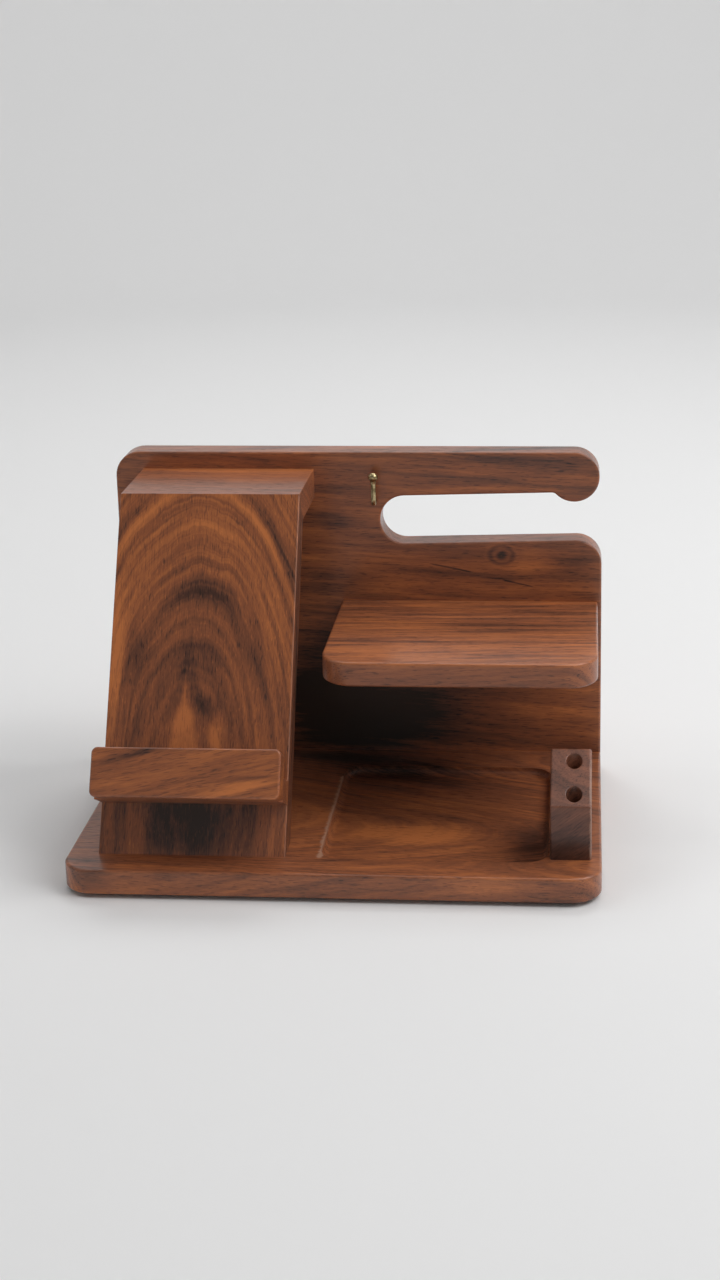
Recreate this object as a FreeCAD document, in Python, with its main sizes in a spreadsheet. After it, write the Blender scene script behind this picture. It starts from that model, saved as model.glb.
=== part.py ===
import FreeCAD, Part
import math
import os
import Sketcher

# A desk valet stand of lacquered hardwood: a base board with a coin tray cut into it, a back panel
# with a watch arm, a leaning phone board with its bridge and ledge, a wallet shelf, a pen block and
# a brass key hook. Everything is glued, dowelled and screwed together, and nothing moves.
# Millimetres. The origin is on the floor under the middle of the base board.
# +X is to the right, +Y to the back, +Z up.

doc = FreeCAD.newDocument("desk_valet_stand")
sheet = doc.addObject("Spreadsheet::Sheet", "Sizes")

driving_sizes = {
    # boards
    "base_width": 260,
    "base_depth": 176,
    "thin_board": 12.5,
    "thick_board": 16,
    "base_corner": 15,
    "edge_round": 1.2,
    "fine_edge_round": 0.6,
    # coin tray cut into the base board
    "tray_front_margin": 18,
    "tray_back_margin": 24,
    "tray_left_gap": 16.5,
    "tray_right_gap": 1,
    "tray_depth": 5,
    "tray_corner": 11,
    "tray_floor_round": 3.5,
    # back panel and watch arm
    "panel_height": 168,
    "panel_corner": 13.5,
    "slot_length": 118,
    "slot_radius": 13.2,
    "slot_height": 131,
    "slot_tilt_angle": 1.4,
    "arm_head_drop": 5.2,
    "arm_head_inset": 1.3,
    "arm_neck_round": 3,
    # phone rest
    "phone_left_inset": 15,
    "phone_front_inset": 19,
    "phone_width": 92,
    "phone_height": 159,
    "phone_slant_angle": 28.7,
    "ledge_board": 11.5,
    "ledge_height": 25,
    "ledge_channel": 15.5,
    "lip_board": 12,
    "lip_height": 24,
    "lip_corner": 3,
    # wallet shelf
    "shelf_width": 137.5,
    "shelf_depth": 102,
    "shelf_height": 86,
    "shelf_right_inset": 2,
    "shelf_corner": 17,
    # pen block
    "pen_block_width": 20,
    "pen_block_depth": 31,
    "pen_block_front": 27.5,
    "pen_block_slope_angle": 31,
    "pen_block_right_inset": 5,
    "pen_block_front_inset": 21.5,
    "pen_hole": 7.5,
    "pen_hole_spacing": 17,
    "pen_hole_front": 6.7,
    "pen_hole_offset": 1.5,
    "pen_hole_floor": 10,
    # key hook
    "hook_wire": 2.3,
    "hook_reach": 8,
    "hook_bend": 3,
    "hook_rise": 15,
    "hook_ball": 4.8,
    "hook_right_inset": 120.5,
    "hook_height": 141.5,
    "hook_sunk": 11,
    # feet
    "pad_size": 14,
    "pad_thickness": 2,
    "pad_inset": 22,
    # fixings
    "dowel_size": 6,
    "slim_dowel": 5,
    "dowel_sunk": 9,
    "screw_size": 4,
    "screw_head": 8,
    "head_depth": 2.6,
    "screw_grip": 17,
    "plug_size": 10,
    "plug_depth": 4,
    "fit_gap": 0.05,
    "end_gap": 0.6,
}


class Size:
    """A length or angle with its present value and its formula in the sheet's terms."""

    def __init__(self, value, text):
        self.value = float(value)
        self.text = text

    def __add__(self, other):
        other = size(other)
        return Size(self.value + other.value, f"({self.text} + {other.text})")

    def __sub__(self, other):
        other = size(other)
        return Size(self.value - other.value, f"({self.text} - {other.text})")

    def __mul__(self, other):
        other = size(other)
        return Size(self.value * other.value, f"({self.text} * {other.text})")

    def __truediv__(self, other):
        other = size(other)
        return Size(self.value / other.value, f"({self.text} / {other.text})")

    def __neg__(self):
        return Size(-self.value, f"(0 - {self.text})")

    def __radd__(self, other):
        return size(other) + self

    def __rsub__(self, other):
        return size(other) - self

    def __rmul__(self, other):
        return size(other) * self


def size(number):
    return number if isinstance(number, Size) else Size(number, repr(float(number)))


def sine(angle):
    return Size(math.sin(math.radians(angle.value)), f"sin({angle.text})")


def cosine(angle):
    return Size(math.cos(math.radians(angle.value)), f"cos({angle.text})")


def tangent(angle):
    return Size(math.tan(math.radians(angle.value)), f"tan({angle.text})")


def root(number):
    return Size(math.sqrt(number.value), f"sqrt({number.text})")


def fill_sheet():
    for row, (name, value) in enumerate(driving_sizes.items(), start=1):
        sheet.set(f"A{row}", name)
        sheet.set(f"B{row}", str(value))
        sheet.setAlias(f"B{row}", name)
    doc.recompute()


fill_sheet()
s = {name: Size(value, f"Sizes.{name}") for name, value in driving_sizes.items()}

# Places that several pieces share, from the floor up and from the front back.
front = -s["base_depth"] / 2
right = s["base_width"] / 2
base_top = s["pad_thickness"] + s["thin_board"]
panel_front = s["base_depth"] / 2 - s["thick_board"]
phone_left = s["phone_left_inset"] - right
phone_right = phone_left + s["phone_width"]
phone_front = front + s["phone_front_inset"]
slant = s["phone_slant_angle"]
pen_left = right - s["pen_block_right_inset"] - s["pen_block_width"]
pen_front = front + s["pen_block_front_inset"]
shelf_left = right - s["shelf_right_inset"] - s["shelf_width"]
shelf_bottom = base_top + s["shelf_height"] - s["thin_board"]

# Rotations about X that turn an upright drill or screw another way.
upwards = size(0)
downwards = size(180)
backwards = size(-90)
forwards = size(90)


# ---------------------------------------------------------------- helpers


def bind(obj, name, length):
    obj.setExpression(name, size(length).text)


def place(obj, x, y, z, turn=upwards):
    """Puts an object at a point, turned about X."""
    x, y, z = size(x), size(y), size(z)
    rotation = FreeCAD.Rotation(FreeCAD.Vector(1, 0, 0), turn.value)
    obj.Placement = FreeCAD.Placement(FreeCAD.Vector(x.value, y.value, z.value), rotation)
    bind(obj, "Placement.Base.x", x)
    bind(obj, "Placement.Base.y", y)
    bind(obj, "Placement.Base.z", z)
    if turn.value:
        bind(obj, "Placement.Rotation.Angle", turn)


def new_body(name, x, y, z, turn=upwards):
    body = doc.addObject("PartDesign::Body", name)
    body.Label = name
    place(body, x, y, z, turn)
    return body


def attach(sketch, body, role, offset):
    plane = [item for item in body.Origin.OriginFeatures if item.Role == role][0]
    sketch.AttachmentSupport = [(plane, "")]
    sketch.MapMode = "FlatFace"
    if offset is not None:
        bind(sketch, "AttachmentOffset.Base.z", offset)


def arc_between(start, end, radius):
    """The arc from start to end. A positive radius turns left, a negative one turns right."""
    chord = end - start
    middle = (start + end) * 0.5
    height = math.sqrt(max(radius * radius - chord.Length ** 2 / 4, 0))
    aside = FreeCAD.Vector(-chord.y, chord.x, 0).normalize()
    centre = middle + aside * (height if radius > 0 else -height)
    if radius < 0:
        start, end = end, start
    first = math.atan2(start.y - centre.y, start.x - centre.x)
    last = math.atan2(end.y - centre.y, end.x - centre.x)
    circle = Part.Circle(centre, FreeCAD.Vector(0, 0, 1), abs(radius))
    return Part.ArcOfCircle(circle, first, last)


def outline(body, name, role, corners, offset=None):
    """A closed sketch. Each corner is (across, up) or (across, up, radius of the arc that leaves it)."""
    sketch = body.newObject("Sketcher::SketchObject", name)
    attach(sketch, body, role, offset)
    spots = [FreeCAD.Vector(size(c[0]).value, size(c[1]).value, 0) for c in corners]
    radii = [c[2] if len(c) > 2 else None for c in corners]
    ends = []
    for index, radius in enumerate(radii):
        start = spots[index]
        end = spots[(index + 1) % len(spots)]
        if radius is None:
            edge = sketch.addGeometry(Part.LineSegment(start, end), False)
            ends.append((edge, 1, 2))
        else:
            edge = sketch.addGeometry(arc_between(start, end, radius.value), False)
            ends.append((edge, 1, 2) if radius.value > 0 else (edge, 2, 1))
    for index, (edge, begin, finish) in enumerate(ends):
        following, next_begin, _ = ends[(index + 1) % len(ends)]
        sketch.addConstraint(Sketcher.Constraint("Coincident", edge, finish, following, next_begin))
    for index, (edge, begin, finish) in enumerate(ends):
        for kind, axis, length in (("DistanceX", -2, corners[index][0]), ("DistanceY", -1, corners[index][1])):
            if isinstance(length, Size):
                number = sketch.addConstraint(
                    Sketcher.Constraint(kind, -1, 1, edge, begin, length.value))
                bind(sketch, f"Constraints[{number}]", length)
            else:
                sketch.addConstraint(Sketcher.Constraint("PointOnObject", edge, begin, axis))
        if radii[index] is not None:
            number = sketch.addConstraint(
                Sketcher.Constraint("Radius", edge, abs(radii[index].value)))
            radius = radii[index] if radii[index].value > 0 else -radii[index]
            bind(sketch, f"Constraints[{number}]", radius)
    doc.recompute()
    return sketch


def pad(body, sketch, name, length, backward=False):
    feature = body.newObject("PartDesign::Pad", name)
    feature.Profile = sketch
    bind(feature, "Length", length)
    feature.Reversed = backward
    doc.recompute()
    return feature


def pocket(body, sketch, name, depth):
    feature = body.newObject("PartDesign::Pocket", name)
    feature.Profile = sketch
    bind(feature, "Length", depth)
    doc.recompute()
    return feature


def edges_where(shape, test):
    """Names of the edges whose bounding box passes the test."""
    return [f"Edge{i + 1}" for i, edge in enumerate(shape.Edges) if test(edge.BoundBox)]


def near(one, other):
    return abs(one - other) < 0.01


def round_edges(body, name, radius, test):
    rounded = body.Tip
    edges = edges_where(rounded.Shape, test)
    feature = body.newObject("PartDesign::Fillet", name)
    feature.Base = (rounded, edges)
    bind(feature, "Radius", radius)
    doc.recompute()
    return feature


def drill(body, name, diameter, depth, at, turn=upwards):
    """A round hole that starts at a point of the body's own frame."""
    hole = body.newObject("PartDesign::SubtractiveCylinder", name)
    bind(hole, "Radius", diameter / 2)
    bind(hole, "Height", depth)
    place(hole, *at, turn)
    doc.recompute()


def sink_head(body, name, at, turn=upwards):
    """The countersink for a screw head that lies flush at a point of the body's own frame."""
    cone = body.newObject("PartDesign::SubtractiveCone", name)
    bind(cone, "Radius1", s["screw_head"] / 2 + s["fit_gap"])
    bind(cone, "Radius2", s["screw_size"] / 2 + s["fit_gap"])
    bind(cone, "Height", s["head_depth"])
    place(cone, *at, turn)
    doc.recompute()


def primitive(kind, name, sizes, at, turn=upwards):
    solid = doc.addObject(kind, name)
    for prop, length in sizes.items():
        bind(solid, prop, length)
    place(solid, *at, turn)
    return solid


def join(name, solids):
    fused = doc.addObject("Part::MultiFuse", name)
    fused.Shapes = solids
    return fused


def group(name, solids, at=(0, 0, 0), turn=upwards):
    """A node of several alike solids."""
    compound = doc.addObject("Part::Compound", name)
    compound.Label = name
    compound.Links = solids
    place(compound, *at, turn)
    return compound


def screw(name, length, at, turn=upwards):
    """A countersunk wood screw with its head's flat face at a point, pointing along its turned Z."""
    head = primitive("Part::Cone", name + "_head", {
        "Radius1": s["screw_head"] / 2,
        "Radius2": s["screw_size"] / 2,
        "Height": s["head_depth"],
    }, (0, 0, 0))
    tip_length = s["screw_size"]
    shank = primitive("Part::Cylinder", name + "_shank", {
        "Radius": s["screw_size"] / 2,
        "Height": length - tip_length,
    }, (0, 0, 0))
    tip = primitive("Part::Cone", name + "_tip", {
        "Radius1": s["screw_size"] / 2,
        "Radius2": 0.0,
        "Height": tip_length,
    }, (0, 0, length - tip_length))
    whole = join(name, [head, shank, tip])
    place(whole, *at, turn)
    return whole


def dowel(name, diameter, length, at, turn=upwards):
    return primitive("Part::Cylinder", name, {"Radius": diameter / 2, "Height": length}, at, turn)


# ---------------------------------------------------------------- where the fixings go

screw_hole = s["screw_size"] + 2 * s["fit_gap"]
dowel_hole = s["dowel_size"] + 2 * s["fit_gap"]
slim_hole = s["slim_dowel"] + 2 * s["fit_gap"]
screw_length = s["thin_board"] + s["screw_grip"]

panel_middle = panel_front + s["thick_board"] / 2
panel_screw_spots = [-right * 0.72, size(0), right * 0.72]
panel_dowel_spots = [-right * 0.36, right * 0.36]

phone_screw_spots = [phone_left + s["phone_width"] * 0.25, phone_right - s["phone_width"] * 0.25]
phone_foot = s["thick_board"] / cosine(slant)
phone_screw_y = phone_front + phone_foot * 0.78

pen_screw_x = pen_left + s["pen_block_width"] / 2 + s["pen_hole_offset"]
pen_screw_y = pen_front + s["pen_hole_front"] + s["pen_hole_spacing"] / 2

shelf_middle = shelf_bottom + s["thin_board"] / 2
shelf_screw_spots = [shelf_left + s["shelf_width"] * share for share in (0.14, 0.5, 0.86)]
shelf_dowel_spots = [shelf_left + s["shelf_width"] * share for share in (0.32, 0.68)]

bridge_middle = base_top + s["phone_height"] - s["thick_board"] / 2
bridge_dowel_spots = [phone_left + s["phone_width"] * share for share in (0.2, 0.8)]

# Along the phone board, measured up its front face from its foot, and across its width.
ledge_middle = s["ledge_height"] + s["ledge_board"] / 2
ledge_screw_spots = [s["phone_width"] * share for share in (0.15, 0.85)]
lip_dowel_spots = [s["phone_width"] * share for share in (0.3, 0.5, 0.7)]
ledge_screw_length = s["thick_board"] + s["ledge_channel"] * 0.75

# The mitre between the phone board and its bridge halves the angle between their outer faces.
mitre_turn = -(slant / 2 + 45)
mitre_outer_y = phone_front + s["phone_height"] * tangent(slant)
mitre_inner_y = phone_front + (s["phone_height"] - s["thick_board"]) * tangent(slant) + phone_foot
mitre_y = (mitre_outer_y + mitre_inner_y) / 2
mitre_dowel_spots = [phone_left + s["phone_width"] * share for share in (0.2, 0.5, 0.8)]
mitre_dowel_half = s["slim_dowel"] * 1.5


# ---------------------------------------------------------------- the wooden pieces


def make_base_board():
    """A board with rounded corners, a routed coin tray, and screw and dowel holes."""
    body = new_body("base_board", 0, 0, s["pad_thickness"])
    depth_half = s["base_depth"] / 2
    plan = outline(body, "base_plan", "XY_Plane", [
        (-right, -depth_half), (right, -depth_half), (right, depth_half), (-right, depth_half)])
    pad(body, plan, "base_pad", s["thin_board"])
    thickness = s["thin_board"].value
    round_edges(body, "base_front_corners", s["base_corner"],
                lambda box: near(box.ZLength, thickness) and box.YMin < 0)
    round_edges(body, "base_edges", s["edge_round"],
                lambda box: near(box.ZLength, 0) and box.YMin < depth_half.value - 0.01)
    tray_left = phone_right + s["tray_left_gap"]
    tray_right = pen_left - s["tray_right_gap"]
    tray_front = front + s["tray_front_margin"]
    tray_back = panel_front - s["tray_back_margin"]
    tray = outline(body, "tray_plan", "XY_Plane", [
        (tray_left, tray_front), (tray_right, tray_front), (tray_right, tray_back), (tray_left, tray_back),
    ], offset=s["thin_board"])
    pocket(body, tray, "tray_pocket", s["tray_depth"])
    floor = (s["thin_board"] - s["tray_depth"]).value
    round_edges(body, "tray_corners", s["tray_corner"],
                lambda box: near(box.ZLength, s["tray_depth"].value) and near(box.ZMin, floor))
    round_edges(body, "tray_floor_edges", s["tray_floor_round"],
                lambda box: near(box.ZMin, floor) and near(box.ZLength, 0))
    for number, x in enumerate(panel_screw_spots):
        drill(body, f"panel_screw_hole_{number}", screw_hole, s["thin_board"], (x, panel_middle, 0))
        sink_head(body, f"panel_screw_sink_{number}", (x, panel_middle, 0))
    for number, x in enumerate(panel_dowel_spots):
        drill(body, f"panel_dowel_hole_{number}", dowel_hole, s["dowel_sunk"] + s["end_gap"],
              (x, panel_middle, s["thin_board"]), downwards)
    for number, x in enumerate(phone_screw_spots):
        drill(body, f"phone_screw_hole_{number}", screw_hole, s["thin_board"], (x, phone_screw_y, 0))
        sink_head(body, f"phone_screw_sink_{number}", (x, phone_screw_y, 0))
    drill(body, "pen_screw_hole", screw_hole, s["thin_board"], (pen_screw_x, pen_screw_y, 0))
    sink_head(body, "pen_screw_sink", (pen_screw_x, pen_screw_y, 0))
    return body


def make_back_panel():
    """An upright board. A round-ended slot, open at the right, leaves the watch arm with its round head."""
    body = new_body("back_panel", 0, panel_front, base_top)
    tilt = s["slot_tilt_angle"]
    along = (cosine(tilt), sine(tilt))
    radius = s["slot_radius"]
    slot_x = right - s["slot_length"] + radius
    slot_z = s["slot_height"]
    lower = (slot_x + radius * along[1], slot_z - radius * along[0])
    upper = (slot_x - radius * along[1], slot_z + radius * along[0])
    deepest = (slot_x - radius * along[0], slot_z - radius * along[1])
    mouth = lower[1] + (right - lower[0]) * tangent(tilt)
    # The head is round from the panel's top to a drop below the arm's sloping lower edge.
    head_right = right - s["arm_head_inset"]
    arm_end_height = s["panel_height"] - upper[1] - (head_right - upper[0]) * tangent(tilt)
    head = (arm_end_height + s["arm_head_drop"]) / (2 - tangent(tilt))
    head_x = head_right - head
    head_z = s["panel_height"] - head
    # The head's centre lies this far above the lower edge's line.
    above = (head_z - upper[1]) * along[0] - (head_x - upper[0]) * along[1]
    reach = root(head * head - above * above)
    neck = (head_x + above * along[1] - reach * along[0], head_z - above * along[0] - reach * along[1])
    face = outline(body, "panel_face", "XZ_Plane", [
        (-right, 0),
        (right, 0),
        (right, mouth),
        (*lower, -radius),
        (*deepest, -radius),
        upper,
        (*neck, head),
        (head_x + head, head_z, head),
        (head_x, s["panel_height"]),
        (-right, s["panel_height"]),
    ])
    pad(body, face, "panel_pad", s["thick_board"], backward=True)
    thickness = s["thick_board"].value
    height = s["panel_height"].value

    def at_corner(box):
        across = near(box.YLength, thickness)
        body_top = near(box.XMax, right.value) and near(box.ZMax, mouth.value)
        left_top = near(box.XMin, -right.value) and near(box.ZMax, height)
        return across and (body_top or left_top)

    round_edges(body, "panel_corners", s["panel_corner"], at_corner)
    round_edges(body, "arm_neck", s["arm_neck_round"],
                lambda box: near(box.YLength, thickness) and near(box.XMin, neck[0].value))
    round_edges(body, "panel_edges", s["edge_round"],
                lambda box: near(box.YLength, 0) and box.ZMax > 0.01)
    middle = s["thick_board"] / 2
    for number, x in enumerate(panel_screw_spots):
        drill(body, f"foot_screw_hole_{number}", screw_hole, s["screw_grip"] + s["end_gap"], (x, middle, 0))
    for number, x in enumerate(panel_dowel_spots):
        drill(body, f"foot_dowel_hole_{number}", dowel_hole, 2 * s["dowel_sunk"] + s["end_gap"], (x, middle, 0))
    shelf_z = shelf_middle - base_top
    for number, x in enumerate(shelf_screw_spots):
        drill(body, f"shelf_screw_hole_{number}", screw_hole, s["thick_board"], (x, 0, shelf_z), backwards)
        drill(body, f"shelf_plug_hole_{number}", s["plug_size"] + 2 * s["fit_gap"], s["plug_depth"],
              (x, s["thick_board"], shelf_z), forwards)
        sink_head(body, f"shelf_screw_sink_{number}",
                  (x, s["thick_board"] - s["plug_depth"], shelf_z), forwards)
    for number, x in enumerate(shelf_dowel_spots):
        drill(body, f"shelf_dowel_hole_{number}", dowel_hole, s["dowel_sunk"] + s["end_gap"],
              (x, 0, shelf_z), backwards)
    bridge_z = bridge_middle - base_top
    for number, x in enumerate(bridge_dowel_spots):
        drill(body, f"bridge_dowel_hole_{number}", dowel_hole, s["dowel_sunk"] + s["end_gap"],
              (x, 0, bridge_z), backwards)
    drill(body, "hook_hole", s["hook_wire"] + 2 * s["fit_gap"], s["hook_sunk"] + s["end_gap"],
          (right - s["hook_right_inset"], 0, s["hook_height"]), backwards)
    return body


def make_phone_board():
    """The leaning board, with a level foot and a mitred top."""
    body = new_body("phone_board", phone_left, phone_front, base_top)
    height = s["phone_height"]
    side = outline(body, "phone_board_side", "YZ_Plane", [
        (0, 0),
        (phone_foot, 0),
        (mitre_inner_y - phone_front, height - s["thick_board"]),
        (mitre_outer_y - phone_front, height),
    ])
    pad(body, side, "phone_board_pad", s["phone_width"])
    round_edges(body, "phone_board_edges", s["fine_edge_round"],
                lambda box: near(box.XLength, 0) and near(box.ZMin, 0) and box.ZLength > 1)
    for number, x in enumerate(phone_screw_spots):
        drill(body, f"foot_screw_hole_{number}", screw_hole, s["screw_grip"] + s["end_gap"],
              (x - phone_left, phone_screw_y - phone_front, 0))
    back_of_board = (s["thick_board"] * cosine(slant), -s["thick_board"] * sine(slant))
    at_ledge = (ledge_middle * sine(slant) + back_of_board[0], ledge_middle * cosine(slant) + back_of_board[1])
    for number, x in enumerate(ledge_screw_spots):
        drill(body, f"ledge_screw_hole_{number}", screw_hole, s["thick_board"], (x, *at_ledge), 90 - slant)
        sink_head(body, f"ledge_screw_sink_{number}", (x, *at_ledge), 90 - slant)
    for number, x in enumerate(mitre_dowel_spots):
        drill(body, f"mitre_dowel_hole_{number}", slim_hole, mitre_dowel_half + s["end_gap"],
              (x - phone_left, mitre_y - phone_front, height - s["thick_board"] / 2), mitre_turn + 180)
    return body


def make_bridge_board():
    """The level board from the top of the phone board back to the panel."""
    body = new_body("bridge_board", phone_left, phone_front, base_top)
    top = s["phone_height"]
    bottom = top - s["thick_board"]
    back = panel_front - phone_front
    side = outline(body, "bridge_board_side", "YZ_Plane", [
        (mitre_inner_y - phone_front, bottom),
        (back, bottom),
        (back, top),
        (mitre_outer_y - phone_front, top),
    ])
    pad(body, side, "bridge_board_pad", s["phone_width"])
    round_edges(body, "bridge_board_edges", s["fine_edge_round"],
                lambda box: near(box.XLength, 0) and near(box.ZLength, 0))
    for number, x in enumerate(mitre_dowel_spots):
        drill(body, f"mitre_dowel_hole_{number}", slim_hole, mitre_dowel_half + s["end_gap"],
              (x - phone_left, mitre_y - phone_front, top - s["thick_board"] / 2), mitre_turn)
    for number, x in enumerate(bridge_dowel_spots):
        drill(body, f"back_dowel_hole_{number}", dowel_hole, 2 * s["dowel_sunk"] + s["end_gap"],
              (x - phone_left, back, bridge_middle - base_top), forwards)
    return body


def make_ledge_floor():
    """The short board square to the phone board that the phone stands on."""
    body = new_body("ledge_floor", phone_left, phone_front, base_top, -slant)
    bottom = s["ledge_height"]
    top = bottom + s["ledge_board"]
    side = outline(body, "ledge_floor_side", "YZ_Plane", [
        (-s["ledge_channel"], bottom), (0, bottom), (0, top), (-s["ledge_channel"], top)])
    pad(body, side, "ledge_floor_pad", s["phone_width"])
    grip = ledge_screw_length - s["thick_board"]
    for number, x in enumerate(ledge_screw_spots):
        drill(body, f"screw_hole_{number}", screw_hole, grip + s["end_gap"], (x, 0, ledge_middle), forwards)
    for number, x in enumerate(lip_dowel_spots):
        drill(body, f"lip_dowel_hole_{number}", slim_hole, s["dowel_sunk"] + s["end_gap"],
              (x, -s["ledge_channel"], ledge_middle), backwards)
    return body


def make_ledge_lip():
    """The upstanding front strip of the ledge, its face in line with the phone board's."""
    body = new_body("ledge_lip", phone_left, phone_front, base_top, -slant)
    back = -s["ledge_channel"]
    face = back - s["lip_board"]
    bottom = s["ledge_height"]
    side = outline(body, "ledge_lip_side", "YZ_Plane", [
        (face, bottom), (back, bottom), (back, bottom + s["lip_height"]), (face, bottom + s["lip_height"])])
    pad(body, side, "ledge_lip_pad", s["phone_width"])
    thickness = s["lip_board"].value
    round_edges(body, "lip_corners", s["lip_corner"], lambda box: near(box.YLength, thickness))
    round_edges(body, "lip_edges", s["edge_round"],
                lambda box: near(box.YLength, 0) and near(box.YMin, face.value))
    for number, x in enumerate(lip_dowel_spots):
        drill(body, f"dowel_hole_{number}", slim_hole, s["lip_board"] / 2 + s["end_gap"],
              (x, back, ledge_middle), forwards)
    return body


def make_wallet_shelf():
    """The shelf in front of the panel, with two rounded front corners."""
    body = new_body("wallet_shelf", shelf_left, panel_front - s["shelf_depth"], shelf_bottom)
    plan = outline(body, "shelf_plan", "XY_Plane", [
        (0, 0), (s["shelf_width"], 0), (s["shelf_width"], s["shelf_depth"]), (0, s["shelf_depth"])])
    pad(body, plan, "shelf_pad", s["thin_board"])
    thickness = s["thin_board"].value
    back = s["shelf_depth"].value
    round_edges(body, "shelf_corners", s["shelf_corner"],
                lambda box: near(box.ZLength, thickness) and near(box.YMax, 0))
    round_edges(body, "shelf_edges", s["edge_round"],
                lambda box: near(box.ZLength, 0) and box.YMin < back - 0.01)
    middle = s["thin_board"] / 2
    grip = screw_length - s["thick_board"] + s["plug_depth"]
    for number, x in enumerate(shelf_screw_spots):
        drill(body, f"screw_hole_{number}", screw_hole, grip + s["end_gap"],
              (x - shelf_left, s["shelf_depth"], middle), forwards)
    for number, x in enumerate(shelf_dowel_spots):
        drill(body, f"dowel_hole_{number}", dowel_hole, 2 * s["dowel_sunk"] + s["end_gap"],
              (x - shelf_left, s["shelf_depth"], middle), forwards)
    return body


def make_pen_block():
    """A block with a sloping top and two upright pen holes."""
    body = new_body("pen_block", pen_left, pen_front, base_top)
    depth = s["pen_block_depth"]
    front_height = s["pen_block_front"]
    back_height = front_height + depth * tangent(s["pen_block_slope_angle"])
    side = outline(body, "pen_block_side", "YZ_Plane", [
        (0, 0), (depth, 0), (depth, back_height), (0, front_height)])
    pad(body, side, "pen_block_pad", s["pen_block_width"])
    round_edges(body, "pen_block_edges", s["edge_round"], lambda box: box.ZMax > 0.01)
    across = s["pen_block_width"] / 2 + s["pen_hole_offset"]
    for number in range(2):
        y = s["pen_hole_front"] + number * s["pen_hole_spacing"]
        drill(body, f"pen_hole_{number}", s["pen_hole"], back_height, (across, y, s["pen_hole_floor"]))
    rim = s["pen_hole"].value
    round_edges(body, "pen_hole_rims", s["fine_edge_round"],
                lambda box: near(box.XLength, rim) and box.ZLength > 1 and box.YLength < rim + 1)
    drill(body, "screw_hole", screw_hole, s["screw_grip"] + s["end_gap"],
          (across, pen_screw_y - pen_front, 0))
    return body


# ---------------------------------------------------------------- the key hook


def make_key_hook():
    """A brass hook: a shank out of the panel, a bend, and an upright leg with a ball."""
    wire = s["hook_wire"] / 2
    bend = s["hook_bend"]
    straight = s["hook_reach"] - bend
    sunk = s["hook_sunk"]
    shank = primitive("Part::Cylinder", "hook_shank", {
        "Radius": wire, "Height": sunk + straight}, (0, sunk, 0), forwards)
    leg = primitive("Part::Cylinder", "hook_leg", {
        "Radius": wire, "Height": s["hook_rise"] - bend}, (0, -s["hook_reach"], bend))
    elbow = primitive("Part::Torus", "hook_elbow", {
        "Radius1": bend, "Radius2": wire, "Angle3": size(90)}, (0, -straight, bend))
    # The quarter ring starts below its centre and ends in front of it.
    below, ahead, aside = FreeCAD.Vector(0, 0, -1), FreeCAD.Vector(0, -1, 0), FreeCAD.Vector(-1, 0, 0)
    elbow.Placement = FreeCAD.Placement(
        elbow.Placement.Base, FreeCAD.Rotation(below, ahead, aside, "XYZ"))
    ball = primitive("Part::Sphere", "hook_ball", {"Radius": s["hook_ball"] / 2},
                     (0, -s["hook_reach"], s["hook_rise"]))
    hook = join("key_hook", [shank, leg, elbow, ball])
    hook.Label = "key_hook"
    place(hook, right - s["hook_right_inset"], panel_front, base_top + s["hook_height"])
    return hook


# ---------------------------------------------------------------- fixings and feet


def make_foot_pads():
    across = right - s["pad_inset"]
    deep = s["base_depth"] / 2 - s["pad_inset"]
    corners = [(-across, -deep), (across, -deep), (across, deep), (-across, deep)]
    pads = [
        primitive("Part::Cylinder", f"foot_pad_{number}", {
            "Radius": s["pad_size"] / 2, "Height": s["pad_thickness"]}, (x, y, 0))
        for number, (x, y) in enumerate(corners)
    ]
    return group("foot_pads", pads)


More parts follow.
